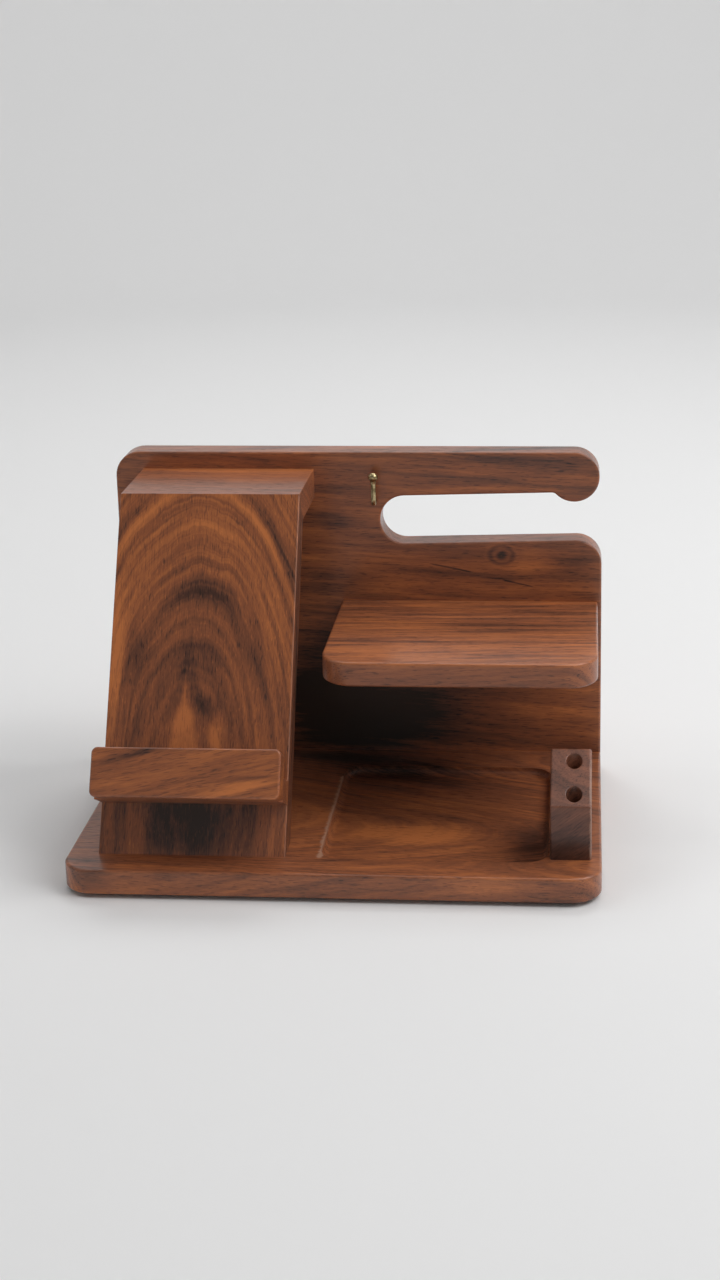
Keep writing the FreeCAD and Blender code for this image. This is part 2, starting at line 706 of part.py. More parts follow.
def make_fixings():
    low = s["pad_thickness"]
    panel_screws = [
        screw(f"panel_screw_{number}", screw_length, (x, panel_middle, low))
        for number, x in enumerate(panel_screw_spots)
    ]
    phone_screws = [
        screw(f"phone_screw_{number}", screw_length, (x, phone_screw_y, low))
        for number, x in enumerate(phone_screw_spots)
    ]
    pen_screw = screw("pen_block_screw", screw_length, (pen_screw_x, pen_screw_y, low))
    pen_screw.Label = "pen_block_screw"
    panel_dowels = [
        dowel(f"panel_dowel_{number}", s["dowel_size"], 3 * s["dowel_sunk"],
              (x, panel_middle, base_top - s["dowel_sunk"]))
        for number, x in enumerate(panel_dowel_spots)
    ]
    panel_back = panel_front + s["thick_board"]
    shelf_screws = [
        screw(f"shelf_screw_{number}", screw_length, (x, panel_back - s["plug_depth"], shelf_middle), forwards)
        for number, x in enumerate(shelf_screw_spots)
    ]
    plugs = [
        dowel(f"screw_plug_{number}", s["plug_size"], s["plug_depth"], (x, panel_back, shelf_middle), forwards)
        for number, x in enumerate(shelf_screw_spots)
    ]
    shelf_dowels = [
        dowel(f"shelf_dowel_{number}", s["dowel_size"], 3 * s["dowel_sunk"],
              (x, panel_front + s["dowel_sunk"], shelf_middle), forwards)
        for number, x in enumerate(shelf_dowel_spots)
    ]
    bridge_dowels = [
        dowel(f"bridge_dowel_{number}", s["dowel_size"], 3 * s["dowel_sunk"],
              (x, panel_front + s["dowel_sunk"], bridge_middle), forwards)
        for number, x in enumerate(bridge_dowel_spots)
    ]
    mitre_dowels = [
        dowel(f"mitre_dowel_{number}", s["slim_dowel"], 2 * mitre_dowel_half,
              (x,
               mitre_y - mitre_dowel_half * cosine(45 - slant / 2),
               bridge_middle - mitre_dowel_half * sine(45 - slant / 2)), mitre_turn)
        for number, x in enumerate(mitre_dowel_spots)
    ]
    at_phone = (phone_left, phone_front, base_top)
    ledge_screws = [
        screw(f"ledge_screw_{number}", ledge_screw_length, (x, s["thick_board"], ledge_middle), forwards)
        for number, x in enumerate(ledge_screw_spots)
    ]
    lip_dowels = [
        dowel(f"lip_dowel_{number}", s["slim_dowel"], s["dowel_sunk"] + s["lip_board"] / 2,
              (x, s["dowel_sunk"] - s["ledge_channel"], ledge_middle), forwards)
        for number, x in enumerate(lip_dowel_spots)
    ]
    return [
        group("panel_screws", panel_screws),
        group("panel_dowels", panel_dowels),
        group("phone_board_screws", phone_screws),
        pen_screw,
        group("shelf_screws", shelf_screws),
        group("screw_plugs", plugs),
        group("shelf_dowels", shelf_dowels),
        group("bridge_dowels", bridge_dowels),
        group("mitre_dowels", mitre_dowels),
        group("ledge_screws", ledge_screws, at_phone, -slant),
        group("lip_dowels", lip_dowels, at_phone, -slant),
    ]


def write_parts(nodes):
    """Checks every object, then writes each node's shape under its label."""
    broken = [item.Name for item in doc.Objects if "Invalid" in item.State or "Error" in item.State]
    broken += [node.Label for node in nodes if node.Shape.isNull() or not node.Shape.isValid()]
    if broken:
        raise RuntimeError("failed objects: " + ", ".join(broken))
    os.makedirs("parts", exist_ok=True)
    for node in nodes:
        node.Shape.exportStep(f"parts/{node.Label}.step")
        print(f"{node.Label}: {len(node.Shape.Solids)} solid(s), {node.Shape.Volume:.0f} mm3")


nodes = [
    make_base_board(),
    make_back_panel(),
    make_phone_board(),
    make_bridge_board(),
    make_ledge_floor(),
    make_ledge_lip(),
    make_wallet_shelf(),
    make_pen_block(),
    make_key_hook(),
    make_foot_pads(),
    *make_fixings(),
]
doc.recompute()
write_parts(nodes)
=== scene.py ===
import math

import bpy
import numpy as np
from mathutils import Matrix, Vector


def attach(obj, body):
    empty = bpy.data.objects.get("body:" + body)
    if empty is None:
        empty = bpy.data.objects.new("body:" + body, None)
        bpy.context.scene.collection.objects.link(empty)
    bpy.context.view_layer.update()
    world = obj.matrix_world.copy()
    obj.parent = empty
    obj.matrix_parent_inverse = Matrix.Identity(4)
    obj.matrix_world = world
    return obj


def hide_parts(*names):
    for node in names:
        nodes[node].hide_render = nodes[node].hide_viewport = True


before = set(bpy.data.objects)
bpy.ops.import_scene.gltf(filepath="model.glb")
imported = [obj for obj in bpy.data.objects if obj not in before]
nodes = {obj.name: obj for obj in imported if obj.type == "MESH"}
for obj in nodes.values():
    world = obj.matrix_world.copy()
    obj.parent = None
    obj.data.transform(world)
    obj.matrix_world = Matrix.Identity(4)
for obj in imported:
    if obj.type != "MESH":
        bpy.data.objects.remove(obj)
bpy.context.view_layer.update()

# A desk valet stand of lacquered rosewood. The scene is in metres on the frame's axes: +X right,
# +Y towards the back panel, +Z up, floor at zero. Sizes of wood and pieces below are in millimetres.
print("frame loaded:", len(nodes), "nodes")

millimetre = 0.001
seedWay = (1.0, 0.7, 1.3)  # the way through the noise that a seed moves a pattern
right = (1.0, 0.0, 0.0)
back = (0.0, 1.0, 0.0)
front = (0.0, -1.0, 0.0)
up = (0.0, 0.0, 1.0)


# Node-tree maths: a Term is one socket, and arithmetic on it adds Math nodes.
class Term:
    def __init__(self, recipe, socket):
        self.recipe = recipe
        self.socket = socket

    def math(self, operation, *others):
        return self.recipe.math(operation, self, *others)

    def vector(self, operation, other, output="Vector"):
        slot = "Scale" if operation == "SCALE" else 1
        values = {0: self, slot: other}
        return self.recipe.node("ShaderNodeVectorMath", {"operation": operation}, values, output)

    def length(self):
        return self.recipe.node("ShaderNodeVectorMath", {"operation": "LENGTH"}, {0: self}, "Value")

    def __add__(self, other):
        return self.math("ADD", other)

    def __sub__(self, other):
        return self.math("SUBTRACT", other)

    def __mul__(self, other):
        return self.math("MULTIPLY", other)

    def __truediv__(self, other):
        return self.math("DIVIDE", other)

    def __radd__(self, other):
        return self.recipe.math("ADD", other, self)

    def __rsub__(self, other):
        return self.recipe.math("SUBTRACT", other, self)

    def __rmul__(self, other):
        return self.recipe.math("MULTIPLY", other, self)

    def __rtruediv__(self, other):
        return self.recipe.math("DIVIDE", other, self)

    def smooth(self, low, high):  # 0 below low, 1 above high, an S-curve between
        values = {"Value": self, "From Min": low, "From Max": high}
        settings = {"interpolation_type": "SMOOTHSTEP"}
        return self.recipe.node("ShaderNodeMapRange", settings, values, "Result")


class Recipe:
    def __init__(self, name):
        self.material = bpy.data.materials.new(name)
        self.material.use_nodes = True
        self.tree = self.material.node_tree
        self.tree.nodes.clear()

    def put(self, value, target):  # a Term is linked, and a plain value is set on the socket
        if isinstance(value, Term):
            self.tree.links.new(value.socket, target)
        else:
            target.default_value = value

    def node(self, kind, settings=None, values=None, output=0):
        made = self.tree.nodes.new(kind)
        for key, value in (settings or {}).items():
            if key == "stops":
                self.setStops(made.color_ramp, value)
            else:
                setattr(made, key, value)
        for key, value in (values or {}).items():
            self.put(value, made.inputs[key])
        return Term(self, made.outputs[output])

    def setStops(self, ramp, stops):
        while len(ramp.elements) < len(stops):
            ramp.elements.new(1.0)
        for element, (position, level) in zip(ramp.elements, stops):
            element.position = position
            element.color = level if isinstance(level, tuple) else (level, level, level, 1.0)

    def math(self, operation, *values):
        return self.node("ShaderNodeMath", {"operation": operation}, dict(enumerate(values)))

    def objectPoint(self):  # this point in millimetres
        point = self.node("ShaderNodeTexCoord", output="Object")
        return point.vector("SCALE", 1.0 / millimetre)

    def noise(self, point, stretch, detail, roughness, shift=0.0):
        moved = point.vector("MULTIPLY", stretch).vector("ADD", tuple(shift * part for part in seedWay))
        values = {"Vector": moved, "Scale": 1.0, "Detail": detail, "Roughness": roughness}
        return self.node("ShaderNodeTexNoise", {"noise_dimensions": "3D"}, values)

    def combine(self, first, second, third):
        return self.node("ShaderNodeCombineXYZ", values={0: first, 1: second, 2: third})

    def spot(self, du, dv, halfAlong, halfAcross):
        # One over (1 + 2 r to the fourth), with r the way out in half sizes: 1/2 at r = 0.84.
        away = du * du * (1.0 / halfAlong ** 2) + dv * dv * (1.0 / halfAcross ** 2)
        return 1.0 / (away.math("POWER", 2.0) * 2.0 + 1.0)

    def reachTo(self, middle, direction, half):  # distance from a straight stretch of edge
        offset = self.objectPoint().vector("SUBTRACT", tuple(middle))
        along = offset.vector("DOT_PRODUCT", tuple(direction), "Value")
        along = along.math("MINIMUM", half).math("MAXIMUM", -half)
        return offset.vector("SUBTRACT", self.combine(*(along * part for part in direction))).length()

    def ramp(self, value, stops):
        return self.node("ShaderNodeValToRGB", {"stops": stops}, {0: value}, "Color")

    def mix(self, share, first, second):  # colours, whose sockets are a Mix node's 6 and 7, out of 2
        return self.node("ShaderNodeMix", {"data_type": "RGBA"}, {0: share, 6: first, 7: second}, 2)

    def bump(self, strength, distance, height):
        values = {"Strength": strength, "Distance": distance, "Height": height}
        return self.node("ShaderNodeBump", values=values, output="Normal")

    def finish(self, color, roughness, normal=None, coat=None, **fixed):
        surface = self.tree.nodes.new("ShaderNodeBsdfPrincipled")
        for key, value in fixed.items():
            surface.inputs[key.replace("_", " ")].default_value = value
        varying = {"Base Color": color, "Roughness": roughness, "Normal": normal, "Coat Weight": coat}
        for key, value in varying.items():
            if value is not None:
                self.put(value, surface.inputs[key])
        output = self.tree.nodes.new("ShaderNodeOutputMaterial")
        self.tree.links.new(surface.outputs[0], output.inputs[0])
        return self.material


def joined(terms, operation):  # ADD, MULTIPLY or MAXIMUM over a list, None where it is empty
    total = None
    for term in terms:
        total = term if total is None else total.math(operation, term)
    return total


def paint(red, green, blue):  # a screen colour, 0 to 255, as a linear one by the sRGB curve
    def linear(level):
        level /= 255
        return level / 12.92 if level <= 0.04045 else ((level + 0.055) / 1.055) ** 2.4
    return (linear(red), linear(green), linear(blue), 1.0)


# The rosewood that every board shares: its colours and where each stands on the tone scale from
# pale heart to dark pore, the relief of its grain, and its lacquer. Bump lengths are in metres.
rosewood = {
    "hues": {"honey": paint(194, 116, 66), "chestnut": paint(145, 86, 56),
             "umber": paint(95, 60, 46), "ink": paint(50, 37, 31)},
    "stops": {"honey": 0.0, "chestnut": 0.4, "umber": 0.75, "ink": 1.0},
    # the pale colour of the edges: rubbed lacquer together with a painted highlight where eased edges catch
    # the light
    "wearAndHighlight": paint(190, 150, 126),
    "poreFrom": (0.58, 0.68), "poreDepth": 0.22, "fleckFrom": (0.6, 0.7), "streakFrom": (0.56, 0.68),
    "bandWaver": 0.6, "softBandGain": 2.0,
    "edgeFrom": (0.2, 1.4), "deepFrom": (0.6, 3.0),
    "fibreHigh": 0.5, "fineHigh": 0.25, "poreSunk": 0.6, "bump": (0.35, 0.00008),
    "roughness": 0.42, "fibreRoughness": 0.1, "poreRoughness": 0.15,
    "coat": 0.6, "coatRoughness": 0.22, "shine": 0.2,
}

# Its noises: stretch in waves a millimetre, detail, roughness and the shift added to the board's
# seed. The last four follow the rings, and three of them are stretched by the board's own scale.
woodNoise = {
    "broad": ((0.006, 0.02, 0.02), 1.0, 0.5, 0.0),
    "middle": ((0.02, 0.07, 0.07), 2.0, 0.5, 11.0),
    "wisp": ((0.09, 0.3, 0.3), 2.0, 0.5, 7.0),
    "fibre": ((0.06, 0.9, 0.9), 2.0, 0.6, 3.0),
    "fine": ((0.25, 3.0, 3.0), 2.0, 0.6, 5.0),
    "cloud": ((0.012, 0.03, 0.03), 2.0, 0.5, 29.0),
    "pore": ((0.16, 1.5, 1.5), 1.0, 0.5, 9.0),
    "fleck": ((0.3, 1.7, 1.7), 1.0, 0.5, 13.0),
    "waver": ((0.3, 0.02, 0.02), 2.0, 0.5, 17.0),
    "softBand": ((1.0, 0.012, 0.012), 2.0, 0.55, 19.0),
    "line": ((1.0, 0.018, 0.018), 3.0, 0.65, 23.0),
    "streak": ((0.7, 0.01, 0.01), 1.0, 0.5, 37.0),
}

# How the listed marks are drawn. A wander is how far noise moves an outline, a knot's spans
# are in its own sizes, a check's tips in its half length, and the fray of a worn edge with a painted
# highlight in its width.
knot = {"squash": 0.85, "wander": (5.0, 2.5), "ripple": 4.2, "rippleDepth": 0.2,
        "core": (0.4, 1.2), "coreDepth": 0.22, "fade": (1.3, 2.7)}
arcWander = 8.0
flame = {"wander": 5.0, "rimIn": 3.5, "rimBack": 8.0, "rimHalf": (4.0, 34.0),
         "inside": (-2.0, 3.0), "foot": (-52.0, -30.0)}
spotWander = {"along": 14.0, "across": (6.0, 3.0)}
check = {"wander": 3.0, "fray": 6.0, "tipsFrom": 0.7, "width": (0.1, 0.7), "depth": 0.5}
wearAndHighlightRim = {"fray": 1.5, "full": 0.3}


class Grain:
    # The wood of one board, in millimetres along, across and outward from the board's own centre.
    # deep is the way from the plane through that centre, which is a big board's face.
    def __init__(self, recipe, look):
        self.recipe = recipe
        self.look = look
        local = recipe.objectPoint().vector("SUBTRACT", look["centre"])
        outwardAxis = Vector(look["along"]).cross(Vector(look["across"]))
        self.along = local.vector("DOT_PRODUCT", look["along"], "Value")
        self.across = local.vector("DOT_PRODUCT", look["across"], "Value")
        self.outward = local.vector("DOT_PRODUCT", tuple(outwardAxis), "Value")
        self.deep = self.outward.math("ABSOLUTE")
        self.point = recipe.combine(self.along, self.across, self.outward)
        self.middle = self.swing("middle", self.point)
        self.wisp = self.swing("wisp", self.point)
        self.fibre = self.swing("fibre", self.point)
        self.fine = self.swing("fine", self.point)
        self.pore = self.noise("pore", self.point).smooth(*rosewood["poreFrom"])

    def noise(self, kind, point, scale=1.0):  # from 0 to 1
        (first, second, third), detail, roughness, shift = woodNoise[kind]
        stretch = (first * scale, second, third)
        return self.recipe.noise(point, stretch, detail, roughness, self.look["seed"] + shift)

    def swing(self, kind, point, scale=1.0):  # from -1/2 to 1/2
        return self.noise(kind, point, scale) - 0.5

    def roundKnots(self):
        # Across is pushed away from a knot by size squared over distance squared. The knot's
        # shade is a dark core plus the cosine of the distance, which fades outwards.
        bent = self.across
        shades = []
        middleWander, wispWander = knot["wander"]
        for placeAlong, placeAcross, size in self.look["knots"]:
            du = (self.along - placeAlong) * knot["squash"]
            dv = self.across - placeAcross
            squared = du * du + dv * dv
            bent = bent - dv * ((size * size) / squared.math("MAXIMUM", size * size))
            distance = squared.math("SQRT") + self.middle * middleWander + self.wisp * wispWander
            ripple = (distance * (knot["ripple"] / size)).math("COSINE") * knot["rippleDepth"]
            core, fade = ([size * share for share in knot[span]] for span in ("core", "fade"))
            shade = (1.0 - distance.smooth(*core)) * knot["coreDepth"]
            shades.append(shade + ripple * (1.0 - distance.smooth(*fade)))
        return bent, joined(shades, "MAXIMUM")

    def rings(self, bent):
        # Growth rings are cones round a heart line that runs nearly along the board. A point's ring
        # is the square root of (across squared + depth squared), plus lean times the way along,
        # plus bow times its square. Noise bends the rings, and swells push them where they stand.
        look = self.look
        depth = self.outward + look["heartDepth"]
        side = bent - look["heartAcross"]
        ring = (side * side + depth * depth).math("SQRT") - look["heartDepth"]
        tilt = self.along * look["lean"]
        if look["leanFade"]:  # straighter grain towards both long edges
            frontEdge, backEdge = look["leanFade"]
            tilt = tilt * self.across.smooth(*frontEdge) * (1.0 - self.across.smooth(*backEdge))
        ring = ring + tilt + self.along * self.along * look["bow"]
        ring = ring + self.swing("broad", self.point) * look["broadBend"]
        ring = ring + self.middle * look["middleBend"] + self.wisp * look["fineBend"]
        for placeAlong, placeAcross, halfAlong, halfAcross, push in look["swells"]:
            du, dv = self.along - placeAlong, self.across - placeAcross
            ring = ring + self.recipe.spot(du, dv, halfAlong, halfAcross) * push
        return ring

    def ringMarks(self, ring):
        # Broad bands, fine lines and dark streaks, all noise stretched along the rings. Bands are
        # a ramp over the ring distance where they are listed.
        look = self.look
        overRings = self.recipe.combine(ring, self.along, self.outward)
        if look["bands"]:
            low, high = look["bandSpan"]
            stops = [((place - low) / (high - low), level) for place, level in look["bands"]]
            band = self.recipe.ramp((ring - low) / (high - low), stops) - 0.5
            band = band + self.swing("waver", overRings) * rosewood["bandWaver"]
        else:
            band = self.swing("softBand", overRings, look["bandScale"]) * rosewood["softBandGain"]
        lines = self.swing("line", overRings, look["lineScale"])
        streak = self.noise("streak", overRings, look["lineScale"]).smooth(*rosewood["streakFrom"])
        marks = band * look["bandDepth"] + lines * look["lineDepth"] + streak * look["streakDepth"]
        if look["edgeCalm"]:  # quieter rings on the edges, below the face
            marks = marks * (1.0 - self.deep.smooth(*rosewood["edgeFrom"]) * look["edgeCalm"])
        return marks

    def addArcs(self, tone, ring):  # patches that follow the rings
        for placeRing, placeAcross, halfRing, halfAcross, push in self.look["arcs"]:
            dv = self.across - placeAcross + self.middle * arcWander
            tone = tone + self.recipe.spot(ring - placeRing, dv, halfRing, halfAcross) * push
        return tone

    def addFlames(self, tone):
        # A pale tongue with a dark rim: inside is (way below the tip) times slope minus the way
        # from its middle line, and it fades towards its foot.
        for tipAlong, tipAcross, slope, push in self.look["flames"]:
            offLine = (self.across - tipAcross + self.middle * flame["wander"]).math("ABSOLUTE")
            inside = (tipAlong - self.along) * slope - offLine
            pastTip = self.along - tipAlong
            rim = self.recipe.spot(inside + flame["rimIn"], pastTip + flame["rimBack"], *flame["rimHalf"])
            pale = inside.smooth(*flame["inside"]) * push * pastTip.smooth(*flame["foot"])
            tone = tone + rim * push - pale
        return tone

    def spots(self):  # soft patches with wandering edges
        middleWander, wispWander = spotWander["across"]
        swayAlong = self.along + self.middle * spotWander["along"]
        swayAcross = self.across + self.middle * middleWander + self.wisp * wispWander
        terms = []
        for placeAlong, placeAcross, halfAlong, halfAcross, push in self.look["spots"]:
            du, dv = swayAlong - placeAlong, swayAcross - placeAcross
            terms.append(self.recipe.spot(du, dv, halfAlong, halfAcross) * push)
        return joined(terms, "ADD")

    def addChecks(self, tone, shallow):  # short dark splits, sloped across the board
        for placeAlong, placeAcross, half, slope in self.look["checks"]:
            du = self.along - placeAlong
            dv = self.across - placeAcross - du * slope + self.middle * check["wander"]
            fromMiddle = du.math("ABSOLUTE") + self.fibre * check["fray"]
            ends = 1.0 - fromMiddle.smooth(half * check["tipsFrom"], half)
            gap = 1.0 - dv.math("ABSOLUTE").smooth(*check["width"])
            tone = tone + gap * ends * shallow * check["depth"]
        return tone

    def tone(self):
        # 0 is pale heartwood and 1 is ink: the marks of the rings, fibres that follow the board,
        # clouds, what is listed one by one, knots, dark pores and pale flecks.
        look = self.look
        bent, knotShade = self.roundKnots()
        ring = self.rings(bent)
        tone = self.ringMarks(ring) + self.fibre * look["fibreDepth"] + self.fine * look["fineDepth"]
        tone = tone + self.swing("cloud", self.point) * look["cloudDepth"] + look["tone"]
        tone = self.addFlames(self.addArcs(tone, ring))
        # Some of the spots are painted shade and shadow; the boards say which.
        spots = self.spots()
        shallow = 1.0 - self.deep.smooth(*look["patchDepth"])
        if spots:  # patches fade with depth, so they don't show on the far side
            tone = tone + spots * shallow
        # Painted shade: a board is darker on its edges and far side, deeper than its face.
        tone = tone + self.deep.smooth(*rosewood["deepFrom"]) * look["paintedSideShade"]
        if knotShade:
            tone = tone + knotShade
        tone = tone + self.pore * rosewood["poreDepth"]
        if look["fleckDepth"]:  # pale short dashes of filled pores
            fleck = self.noise("fleck", self.point).smooth(*rosewood["fleckFrom"])
            tone = tone - fleck * look["fleckDepth"]
        return self.addChecks(tone, shallow)

    def wearAndHighlightStrip(self):  # 1 along the pale edges, worn and with a painted highlight, with a frayed rim
        terms = []
        for middlePlace, direction, half, width in self.look["wearAndHighlightEdges"]:
            reach = self.recipe.reachTo(middlePlace, direction, half)
            frayed = reach + (self.fine + self.wisp) * width * wearAndHighlightRim["fray"]
            terms.append(1.0 - frayed.smooth(width * wearAndHighlightRim["full"], width))
        return joined(terms, "MAXIMUM")

    def dulled(self):  # the lacquer's weight where it is rubbed matt, None where it never is
        terms = []
        for placeAlong, placeAcross, halfAlong, halfAcross in self.look["dullSpots"]:
            du, dv = self.along - placeAlong, self.across - placeAcross
            terms.append(1.0 - self.recipe.spot(du, dv, halfAlong, halfAcross))
        kept = joined(terms, "MULTIPLY")
        return kept * rosewood["coat"] if kept else None


def woodFinish(name, look):
    recipe = Recipe(name)
    grain = Grain(recipe, look)
    hues = {**rosewood["hues"], **look["hues"]}
    stops = [(place, hues[hue]) for hue, place in rosewood["stops"].items()]
    color = recipe.ramp(grain.tone(), stops)
    # Pale edges mix in: rubbed lacquer, and a painted highlight where the eased edges catch the light.
    wearAndHighlightStrip = grain.wearAndHighlightStrip()
    if wearAndHighlightStrip:
        color = recipe.mix(wearAndHighlightStrip * look["wearAndHighlightShare"], color, rosewood["wearAndHighlight"])
    height = grain.fibre * rosewood["fibreHigh"] + grain.fine * rosewood["fineHigh"]
    height = height - grain.pore * rosewood["poreSunk"]
    matt = grain.fibre * rosewood["fibreRoughness"] + grain.pore * rosewood["poreRoughness"]
    matt = matt + rosewood["roughness"]
    bump = recipe.bump(*rosewood["bump"], height)
    return recipe.finish(color, matt, bump, grain.dulled(), Coat_Weight=rosewood["coat"],
                         Coat_Roughness=rosewood["coatRoughness"], Specular_IOR_Level=rosewood["shine"])


def dress(name, material):
    node = nodes[name]
    node.data.materials.clear()
    node.data.materials.append(material)


# Each board's look. "along" and "across" are the axes of its grain. Places are measured from
# "centre", in the face that shows or inside a small part, and the log's heart is heartDepth under it.
#   bands: ring distance, darkness; arcs: ring distance, across, both half sizes, push
#   swells, spots: along, across, both half sizes, push; where the tone is pushed, plus is darker
#   flames: along and across of the tip, slope, push; knots: along, across, size
#   checks: along, across, half length, slope; dullSpots: along, across, both half sizes
#   wearAndHighlightEdges: worn edges with a painted highlight; the middle on the stand's own axes,
#       direction, half length, width
plain = {
    "hues": {}, "tone": 0.38, "bow": 0.0, "leanFade": None,
    "broadBend": 8.0, "middleBend": 3.0, "fineBend": 0.8,
    "bandScale": 0.13, "bandDepth": 0.32, "bands": [],
    "lineScale": 0.55, "lineDepth": 1.0, "streakDepth": 0.22,
    "fibreDepth": 0.35, "fineDepth": 0.4, "cloudDepth": 0.4, "fleckDepth": 0.0,
    "edgeCalm": 0.0, "paintedSideShade": 0.0, "patchDepth": (6.0, 13.0),
    "knots": [], "swells": [], "arcs": [], "flames": [], "spots": [], "checks": [],
    "wearAndHighlightEdges": [], "wearAndHighlightShare": 0.35, "dullSpots": [],
}

# The phone board leans back, and its ledge stands square to it.
lean = math.radians(28.7)
upBoard = (0.0, math.sin(lean), math.cos(lean))
offBoard = (0.0, -math.cos(lean), math.sin(lean))

phoneEdge = {"foot": (-23.2, -68.9, 14.5), "half": 90.0, "wearAndHighlightStrip": 0.6}
phoneEdgeMiddle = Vector(phoneEdge["foot"]) + Vector(upBoard) * phoneEdge["half"]

lip = {"foot": (0.0, -69.0, 14.5), "high": 49.6, "out": 27.2, "middle": -69.5, "end": -21.5,
       "halfLong": 46.0, "cornerBelow": 13.0, "halfCorner": 12.0, "wearAndHighlightStrip": 0.9}
lipTop = Vector(lip["foot"]) + Vector(upBoard) * lip["high"] + Vector(offBoard) * lip["out"]
lipTopMiddle = lipTop + Vector((lip["middle"], 0.0, 0.0))
lipCorner = lipTop + Vector((lip["end"], 0.0, 0.0)) - Vector(upBoard) * lip["cornerBelow"]

